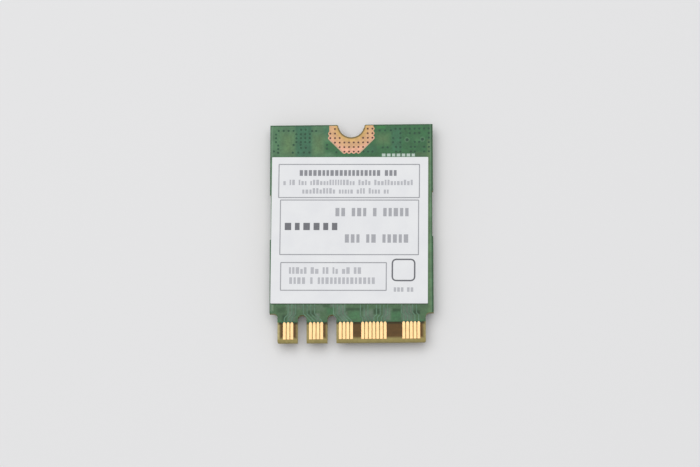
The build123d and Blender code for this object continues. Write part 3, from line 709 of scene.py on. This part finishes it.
# %% Lay out the holes
hole_groups = [
    # first x, first depth below the top edge, columns, rows, pitch across, pitch down
    (-9.86, 0.75, 4, 1, 0.67, 0),
    (-10.22, 1.24, 1, 3, 0, 0.53),
    (-9.92, 2.78, 1, 3, 0, 0.51),
    (-10.5, 3.6, 1, 1, 0, 0),
    (-7.45, 1.24, 4, 3, 0.6, 0.55),
    (-7.84, 2.72, 2, 1, 0.95, 0),
    (-6.82, 0.62, 2, 1, 0.63, 0),
    (-6.84, 3.15, 2, 1, 0.66, 0),
    (-7.94, 3.8, 4, 1, 0.75, 0),
    (-5.33, 0.8, 2, 1, 0.55, 0),
    (-3.3, 2.77, 1, 2, 0, 0.53),
    (-2.03, 3.8, 1, 1, 0, 0),
    (1.63, 3.75, 3, 1, 0.62, 0),
    (3.83, 0.83, 3, 1, 0.76, 0),
    (4.27, 3.2, 2, 1, 0.63, 0),
    (5.65, 1.9, 1, 2, 0, 0.58),
    (6.05, 3.16, 1, 2, 0, 0.66),
    (5.99, 0.62, 8, 1, 0.643, 0),
    (6.64, 1.25, 1, 5, 0, 0.64),
    (7.92, 1.25, 3, 1, 0.65, 0),
    (8.06, 3.16, 2, 2, 0.52, 0.66),
    (8.58, 2.48, 2, 1, 0.6, 0),
    (9.84, 3.16, 1, 2, 0, 0.66),
    (10.49, 1.25, 1, 5, 0, 0.64),
]
hole_places = [
    (x + column * across, card_top - depth - row * down, mask_top)
    for x, depth, columns, rows, across, down in hole_groups
    for column in range(columns)
    for row in range(rows)
]
print("holes:", len(hole_places), "in", len(hole_groups), "groups")

# %% Add the holes
sunk_mask = make_mask("Solder mask sunk into a hole", "#10452a")
hole_sizes = {"Radius": 0.15, "Tip Radius": 0.1, "Height": 0.004, "Sides": 10, "Material": sunk_mask}
add_piece("holes_under_mask", grow(disc_tree, hole_places, [], hole_sizes))

# %% [markdown]
# At the edge of the mask the lacquer also pools between the contacts. It is thick and dark there, and
# it rounds off the contacts' upper ends. The same discs stand for these drops.

# %% Add the drops between the contacts
contact_groups = ((2, 6), (16, 22), (32, 38), (44, 56), (66, 74))
drop_offset = 0.03
drop_places = [
    ((number + 1 - middle_contact) * contact_pitch / 2, mask_end - drop_offset, contact_top)
    for first, last in contact_groups
    for number in range(first - 2, last + 1, 2)
]
drop_sizes = {"Radius": 0.13, "Tip Radius": 0.09, "Height": 0.006, "Sides": 10, "Material": sunk_mask}
add_piece("mask_drops", grow(disc_tree, drop_places, [], drop_sizes))

# %% [markdown]
# Two test points stand among the holes. Each is a round pad of copper with a hole in its middle, so
# the mask over it is a pale ring round a dark dot. Two sizes of disc, one on the other, make both.

# %% Add the test points
test_places = [(7.54, card_top - 2.16, mask_top), (9.62, card_top - 2.11, mask_top)]
pad_mask = make_mask("Solder mask over a test pad", "#43704c")
pad_sizes = {"Radius": 0.38, "Tip Radius": 0.34, "Height": 0.004, "Sides": 20, "Material": pad_mask}
add_piece("test_pads", grow(disc_tree, test_places, [], pad_sizes))

raised_places = [(x, y, z + pad_sizes["Height"]) for x, y, z in test_places]
core_sizes = {"Radius": 0.2, "Tip Radius": 0.14, "Height": 0.004, "Sides": 12, "Material": sunk_mask}
add_piece("test_pad_middles", grow(disc_tree, raised_places, [], core_sizes))

# %% [markdown]
# ## Painted shade in the screw land's holes
#
# The holes of the screw land are open to its face. From above they are dark red-brown dots: the
# plated wall inside each one lies in shade. A dark disc a little below the copper carries that painted
# shade. It could be painted on the land, but the CAD model has the real holes, so discs inside them
# keep their depth in every view.
# Their places follow the land's own rule: a square grid that leaves out the notch and the far corners.

# %% Put painted shade into the land's holes
first_row, notch_clearance, corner_limit, shade_depth = 0.56, 2.2, 4.8, 0.06
shade_places = []
for row in range(6):
    depth = first_row + row * via_pitch
    for column in range(5):
        reach = (column + 0.5) * via_pitch
        if math.hypot(reach, depth) > notch_clearance and reach + depth < corner_limit:
            shade_places.append((reach, card_top - depth, mask_top - shade_depth))
            if row > 0 or column < 4:
                shade_places.append((-reach, card_top - depth, mask_top - shade_depth))
# The discs carry the painted shade of the holes.
shade_sizes = {"Radius": 0.15, "Tip Radius": 0.15, "Height": 0.03, "Sides": 6, "Material": hole_shade}
add_piece("land_hole_shade", grow(disc_tree, shade_places, [], shade_sizes))

# %% [markdown]
# ## Tracks under the mask
#
# Copper tracks run from the contacts up under the label, and the mask lies a little higher and paler
# over each of them. Drawn in the material they would lose their low ridges, so a second tree sweeps a
# flat rectangle along lines. Each track rises straight from its contact, leans over to one side, and
# rises straight again until the label covers it.

# %% Build the ribbon tree
ribbon_tree, given = start_tree("Ribbons on lines", ("Width", "Thickness", "Corner"))
line = add_node(ribbon_tree, "GeometryNodeMeshToCurve", {"Mesh": given["Geometry"]})
line = add_node(
    ribbon_tree,
    "GeometryNodeFilletCurve",
    {"Curve": line, "Radius": given["Corner"], "Limit Radius": True, "Count": 3},
    mode="POLY",
)
line = add_node(ribbon_tree, "GeometryNodeSetCurveNormal", {"Curve": line}, mode="Z_UP")
strip = add_node(
    ribbon_tree,
    "GeometryNodeCurvePrimitiveQuadrilateral",
    {"Width": given["Width"], "Height": given["Thickness"]},
)
ribbon = add_node(
    ribbon_tree, "GeometryNodeCurveToMesh", {"Curve": line, "Profile Curve": strip, "Fill Caps": True}
)
end_tree(ribbon_tree, ribbon, given["Material"])


# %% Find the label's lower edge
label_half_height = 10.09
label_askew = math.radians(0.48)


def label_edge(x):
    """Gives where the label's lower edge crosses x. The label lies slightly askew."""
    return label_middle.y - label_half_height - (x - label_middle.x) * math.tan(label_askew)


print("the label ends at y =", round(label_edge(0), 2))

# %% Lay the tracks
track_thickness = 0.01
track_gap = 0.03
track_rules = [
    # first and last contact, straight rise, sideways lean
    (2, 6, 0.6, 0.5),
    (16, 22, 0.2, -0.95),
    (32, 38, 0.15, -0.9),
    (44, 48, 0.5, -0.3),
    (50, 56, 0.6, 0.35),
    (66, 74, 0.9, -0.3),
]
points, lines = [], []
for first, last, rise, lean in track_rules:
    for number in range(first, last + 1, 2):
        x = (number - middle_contact) * contact_pitch / 2
        z = mask_top + track_thickness / 2
        knee = mask_end + rise
        lines += [(len(points) + step, len(points) + step + 1) for step in range(3)]
        points += [
            (x, mask_end + track_gap, z),
            (x, knee, z),
            (x + lean, knee + abs(lean), z),
            (x + lean, label_edge(x + lean) - track_gap, z),
        ]
raised_mask = make_mask("Solder mask raised over copper", "#5f8068")
track_sizes = {"Width": 0.17, "Thickness": track_thickness, "Corner": 0.15, "Material": raised_mask}
add_piece("tracks_under_mask", grow(ribbon_tree, points, lines, track_sizes))

# %% [markdown]
# A fine dark line runs between the white paper and the green along the label's lower edge. It is a
# painted shadow: the shade under the label's edge, drawn on the mask. It is one more ribbon.

# %% Add the painted shadow along the label's edge
edge_inset, edge_offset, edge_thickness = 0.15, 0.04, 0.02
ends = (label_low.x / MM + edge_inset, label_high.x / MM - edge_inset)
edge_points = [(x, label_edge(x) - edge_offset, mask_top + edge_thickness / 2) for x in ends]
edge_sizes = {"Width": 0.14, "Thickness": edge_thickness, "Corner": 0.0, "Material": label_shadow}
add_piece("label_edge_shadow", grow(ribbon_tree, edge_points, [(0, 1)], edge_sizes))

# %% [markdown]
# At the land's two lower corners the mask isn't cut round each hole, as the copper is, but in one
# straight line, and a thin pale strip of the coated copper shows along it. The strips run beside the
# outermost holes, so they are two ribbons whose ends come from the holes' own grid.

# %% Add the strips at the land's corners
strip_offset, strip_thickness = 0.16, 0.008
strip_ends = [
    ((column + 0.5) * via_pitch + strip_offset, card_top - first_row - row * via_pitch - strip_offset)
    for column, row in ((4, 2), (1, 5))
]
strip_points = [
    (side * x, y, mask_top + strip_thickness / 2) for side in (-1, 1) for x, y in strip_ends
]
pale_copper = make_dull("Coated copper at the mask's edge", "#d6b596", "#cba985", 0.2, 0.05, 0.004, 0.5)
strip_sizes = {"Width": 0.17, "Thickness": strip_thickness, "Corner": 0.0, "Material": pale_copper}
strips = grow(ribbon_tree, strip_points, [(0, 1), (2, 3)], strip_sizes)
add_piece("land_corner_strips", strips)

# %% [markdown]
# ## Print on the label
#
# The label is printed in greys: ruled frames, and rows of small blocks of several heights and weights
# inside them. The ink could be painted on the paper, but as thin pieces it stays crisp at any size.
# The frames reuse the ribbon tree. A third tree sets the blocks: each gets a random width, and some
# are shorter than others. Accumulate Field lines them up, and now and then a wider space parts two
# groups of them.

# %% Line the blocks up
parting = 0.16
group_space = 2.5
row_tree, given = start_tree(
    "Row of blocks",
    ("Length", "Height", "Narrow", "Wide", "Spacing", "Thickness"),
    ("Count", "Seed", "Short Per Cent"),
)
group_seed, short_seed = [
    add_node(row_tree, "ShaderNodeMath", {0: given["Seed"], 1: step}, operation="ADD") for step in (7, 19)
]
width = add_node(
    row_tree,
    "FunctionNodeRandomValue",
    {"Min": given["Narrow"], "Max": given["Wide"], "Seed": given["Seed"]},
    data_type="FLOAT",
)
group_end = add_node(
    row_tree, "FunctionNodeRandomValue", {"Probability": parting, "Seed": group_seed}, data_type="BOOLEAN"
)
wider = add_node(row_tree, "ShaderNodeMath", {0: given["Spacing"], 1: group_space}, operation="MULTIPLY")
space = add_node(
    row_tree, "ShaderNodeMath", {0: group_end, 1: wider, 2: given["Spacing"]}, operation="MULTIPLY_ADD"
)
step = add_node(row_tree, "ShaderNodeMath", {0: width, 1: space}, operation="ADD")
summed = add_node(row_tree, "GeometryNodeAccumulateField", {"Value": step}, data_type="FLOAT")
start = summed.outputs["Trailing"]
across = add_node(row_tree, "ShaderNodeMath", {0: width, 1: 0.5, 2: start}, operation="MULTIPLY_ADD")
print("nodes that line the blocks up:", len(row_tree.nodes))

# %% Give the blocks their heights
short_by = 0.26
short_share = add_node(
    row_tree, "ShaderNodeMath", {0: given["Short Per Cent"], 1: 100}, operation="DIVIDE"
)
short = add_node(
    row_tree,
    "FunctionNodeRandomValue",
    {"Probability": short_share, "Seed": short_seed},
    data_type="BOOLEAN",
)
shrink = add_node(row_tree, "ShaderNodeMath", {0: short, 1: -short_by, 2: 1}, operation="MULTIPLY_ADD")
height = add_node(row_tree, "ShaderNodeMath", {0: given["Height"], 1: shrink}, operation="MULTIPLY")
drop = add_node(row_tree, "ShaderNodeMath", {0: height, 1: given["Height"]}, operation="SUBTRACT")
drop = add_node(row_tree, "ShaderNodeMath", {0: drop, 1: 0.5}, operation="MULTIPLY")
stand = add_node(row_tree, "ShaderNodeCombineXYZ", {"X": across, "Y": drop})
size = add_node(row_tree, "ShaderNodeCombineXYZ", {"X": width, "Y": height, "Z": given["Thickness"]})
print("nodes with those for the heights:", len(row_tree.nodes))

# %% Set the blocks and cut the row to its length
spine = add_node(row_tree, "GeometryNodeMeshLine", {"Count": given["Count"]})
sized = add_node(
    row_tree,
    "GeometryNodeStoreNamedAttribute",
    {"Geometry": spine, "Name": "size", "Value": size},
    data_type="FLOAT_VECTOR",
    domain="POINT",
)
placed = add_node(row_tree, "GeometryNodeSetPosition", {"Geometry": sized, "Position": stand})
here = add_node(row_tree, "GeometryNodeInputPosition")
past_end = add_node(
    row_tree,
    "FunctionNodeCompare",
    {"A": add_node(row_tree, "ShaderNodeSeparateXYZ", {0: here}), "B": given["Length"]},
    data_type="FLOAT",
    operation="GREATER_THAN",
)
kept = add_node(
    row_tree, "GeometryNodeDeleteGeometry", {"Geometry": placed, "Selection": past_end}, domain="POINT"
)
stored_size = add_node(
    row_tree, "GeometryNodeInputNamedAttribute", {"Name": "size"}, data_type="FLOAT_VECTOR"
)
block = add_node(row_tree, "GeometryNodeMeshCube", {"Size": [1, 1, 1]})
blocks = add_node(
    row_tree, "GeometryNodeInstanceOnPoints", {"Points": kept, "Instance": block, "Scale": stored_size}
)
end_tree(row_tree, blocks, given["Material"])

# %% Turn places on the label into places on the card
ink_thickness = 0.006
print_askew = math.radians(-0.6)
print_turn = Matrix.Rotation(print_askew, 4, "Z")


def on_label(x, y):
    """Gives the place on the card, in mm, of a place on the printed field."""
    spot = print_turn @ Vector((x, y, 0))
    return (spot.x + label_middle.x, spot.y + label_middle.y, label_top + ink_thickness / 2)


print("the printed field's middle is at", [round(value, 2) for value in on_label(0, 0)])


# %% Rule the frames
def rule_frame(name, middle, size, width, corner, ink):
    """Prints a ruled rectangle as a closed ribbon."""
    corners = [
        on_label(middle[0] + across * size[0] / 2, middle[1] + down * size[1] / 2)
        for across, down in ((-1, -1), (1, -1), (1, 1), (-1, 1))
    ]
    sizes = {"Width": width, "Thickness": ink_thickness, "Corner": corner, "Material": ink}
    add_piece(name, grow(ribbon_tree, corners, [(0, 1), (1, 2), (2, 3), (3, 0)], sizes))


rule_frame("frame_upper", (-0.13, 6.77), (19.0, 4.6), 0.13, 0.05, grey_ink)
rule_frame("frame_middle", (-0.04, 0.365), (18.65, 7.53), 0.13, 0.05, grey_ink)
rule_frame("frame_lower", (-2.11, -6.4), (14.2, 3.8), 0.13, 0.05, grey_ink)
rule_frame("blank_mark", (7.3, -5.5), (3.0, 2.9), 0.2, 0.5, dark_ink)


# %% Set the rows
most_blocks = 120


def set_row(name, middle, size, widths, spacing, short, seed, ink, base=label_top):
    """Prints a row of blocks, centred on a place on the printed field."""
    sizes = {"Length": size[0], "Height": size[1], "Narrow": widths[0], "Wide": widths[1]}
    sizes |= {"Spacing": spacing, "Short Per Cent": short, "Thickness": ink_thickness}
    sizes |= {"Count": most_blocks, "Seed": seed, "Material": ink}
    mesh = grow(row_tree, [(0, 0, 0)], [], sizes)
    row_end = max(vertex.co.x for vertex in mesh.vertices)
    x, y, z = on_label(*middle)
    place = Matrix.Translation(Vector((x, y, z - label_top + base)) * MM)
    mesh.transform(place @ print_turn @ Matrix.Translation((-row_end / 2, 0, 0)))
    add_piece(name, mesh)


set_row("row_bold", (-0.27, 7.88), (13.1, 0.8), (0.32, 0.46), 0.18, 0, 3, bold_ink)
set_row("row_second", (-0.28, 6.57), (17.6, 0.75), (0.18, 0.38), 0.15, 50, 4, pale_ink)
set_row("row_third", (-0.61, 5.4), (11.8, 0.75), (0.18, 0.38), 0.15, 50, 5, pale_ink)
set_row("row_large_upper", (3.0, 2.46), (9.7, 1.15), (0.4, 0.6), 0.26, 0, 6, grey_ink)
set_row("row_wide", (-5.2, 0.47), (7.1, 1.0), (0.6, 0.95), 0.5, 0, 12, dark_ink)
set_row("row_large_lower", (3.64, -1.18), (9.0, 1.15), (0.4, 0.6), 0.26, 0, 7, grey_ink)
set_row("row_lower_first", (-3.25, -5.59), (9.7, 0.9), (0.22, 0.46), 0.16, 50, 8, pale_ink)
set_row("row_lower_second", (-2.29, -6.98), (11.6, 0.9), (0.3, 0.44), 0.2, 0, 9, pale_ink)
set_row("row_mark", (7.32, -8.18), (2.5, 0.6), (0.25, 0.38), 0.14, 0, 10, pale_ink)

# %% [markdown]
# The board maker prints small white marks on the mask too. One row of them stands right above the
# label. It is set in the same way, one layer lower.

# %% Print the white row on the mask
set_row("row_white", (6.5, 10.4), (4.8, 0.4), (0.36, 0.5), 0.2, 0, 14, white_ink, base=mask_top)

# %% [markdown]
# ## Solder
#
# Solder joins the shield's feet, the antenna connectors' legs and the small parts' ends to the board.
# It wets both faces and draws up into a hollow fillet. A plain wedge would look like filler, so a
# fourth tree pulls a cube's outer edge in towards the corner. Each point carries the turn that faces
# its fillet outwards. Little of them shows from the label side, but the card has edges to look at too.

# %% Find the edge that the solder pulls in
fillet_tree, given = start_tree("Solder fillets", ("Length", "Leg"))
here = add_node(fillet_tree, "GeometryNodeInputPosition")
here = add_node(fillet_tree, "ShaderNodeSeparateXYZ", {0: here}).outputs
outside, hanging = [
    add_node(
        fillet_tree, "FunctionNodeCompare", {"A": here[axis], "B": 0.0}, data_type="FLOAT", operation=test
    )
    for axis, test in (("Y", "GREATER_THAN"), ("Z", "LESS_THAN"))
]
outer_edge = add_node(fillet_tree, "FunctionNodeBooleanMath", {0: outside, 1: hanging}, operation="AND")
print("nodes that find the edge:", len(fillet_tree.nodes))

# %% Pull the edge in and set the fillets
hollow = 0.62
legs = add_node(
    fillet_tree, "ShaderNodeCombineXYZ", {"X": given["Length"], "Y": given["Leg"], "Z": given["Leg"]}
)
wedge = add_node(fillet_tree, "GeometryNodeMeshCube", {"Size": legs})
pull, lift, half_leg = [
    add_node(fillet_tree, "ShaderNodeMath", {0: given["Leg"], 1: share}, operation="MULTIPLY")
    for share in (-hollow, hollow, 0.5)
]
inwards = add_node(fillet_tree, "ShaderNodeCombineXYZ", {"Y": pull, "Z": lift})
wedge = add_node(
    fillet_tree,
    "GeometryNodeSetPosition",
    {"Geometry": wedge, "Selection": outer_edge, "Offset": inwards},
)
to_corner = add_node(fillet_tree, "ShaderNodeCombineXYZ", {"Y": half_leg})
wedge = add_node(fillet_tree, "GeometryNodeTransform", {"Geometry": wedge, "Translation": to_corner})
facing = add_node(fillet_tree, "GeometryNodeInputNamedAttribute", {"Name": "turn"}, data_type="FLOAT")
turned = add_node(fillet_tree, "ShaderNodeCombineXYZ", {"Z": facing})
fillets = add_node(
    fillet_tree,
    "GeometryNodeInstanceOnPoints",
    {"Points": given["Geometry"], "Instance": wedge, "Rotation": turned},
)
end_tree(fillet_tree, fillets, given["Material"])


# %% Solder the shield's feet
def add_fillets(name, places, length, leg):
    """Adds solder fillets on the component side: each place has x, y and its outward angle."""
    points = [(x, y, underside - leg / 2) for x, y, angle in places]
    turns = [math.radians(angle - 90) for x, y, angle in places]
    sizes = {"Length": length, "Leg": leg, "Material": solder}
    add_piece(name, grow(fillet_tree, points, [], sizes, turns))


fence_low, fence_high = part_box("shield_frame")
latch_bump = 0.12
overlap = 0.01
foot_pitch = 3.3
fence_x = fence_high.x / MM - latch_bump - overlap
fence_y = (fence_high.y - fence_low.y) / 2 / MM - latch_bump - overlap
fence_middle = (fence_high.y + fence_low.y) / 2 / MM
feet = []
for side in (-1, 1):
    feet += [(step * foot_pitch, fence_middle + side * fence_y, side * 90) for step in range(-2, 3)]
    feet += [
        (side * fence_x, fence_middle + (step + 0.5) * foot_pitch, 90 - side * 90)
        for step in range(-2, 2)
    ]
add_fillets("solder_on_feet", feet, 1.6, 0.15)

# %% Solder the antenna connectors and the small parts beside them
leg_reach = 0.94
part_y, part_pitch, part_reach = 10.5, 1.5, 0.49
connector_legs, part_ends = [], []
for side in (-1, 1):
    x = side * connector_x
    connector_legs += [(x - leg_reach, connector_y, 180), (x + leg_reach, connector_y, 0)]
    connector_legs += [(x, connector_y + leg_reach, 90)]
    for step in range(3):
        x = side * (connector_x - part_pitch * step)
        part_ends += [(x - part_reach, part_y, 180), (x + part_reach, part_y, 0)]
add_fillets("solder_on_antenna_legs", connector_legs, 0.7, 0.12)
add_fillets("solder_on_small_parts", part_ends, 0.42, 0.1)

# %% [markdown]
# ## Size of the dressed card
#
# The ink stands a few thousandths of a millimetre proud of the label. Otherwise the dressed card has
# to fill the same box as the CAD model.
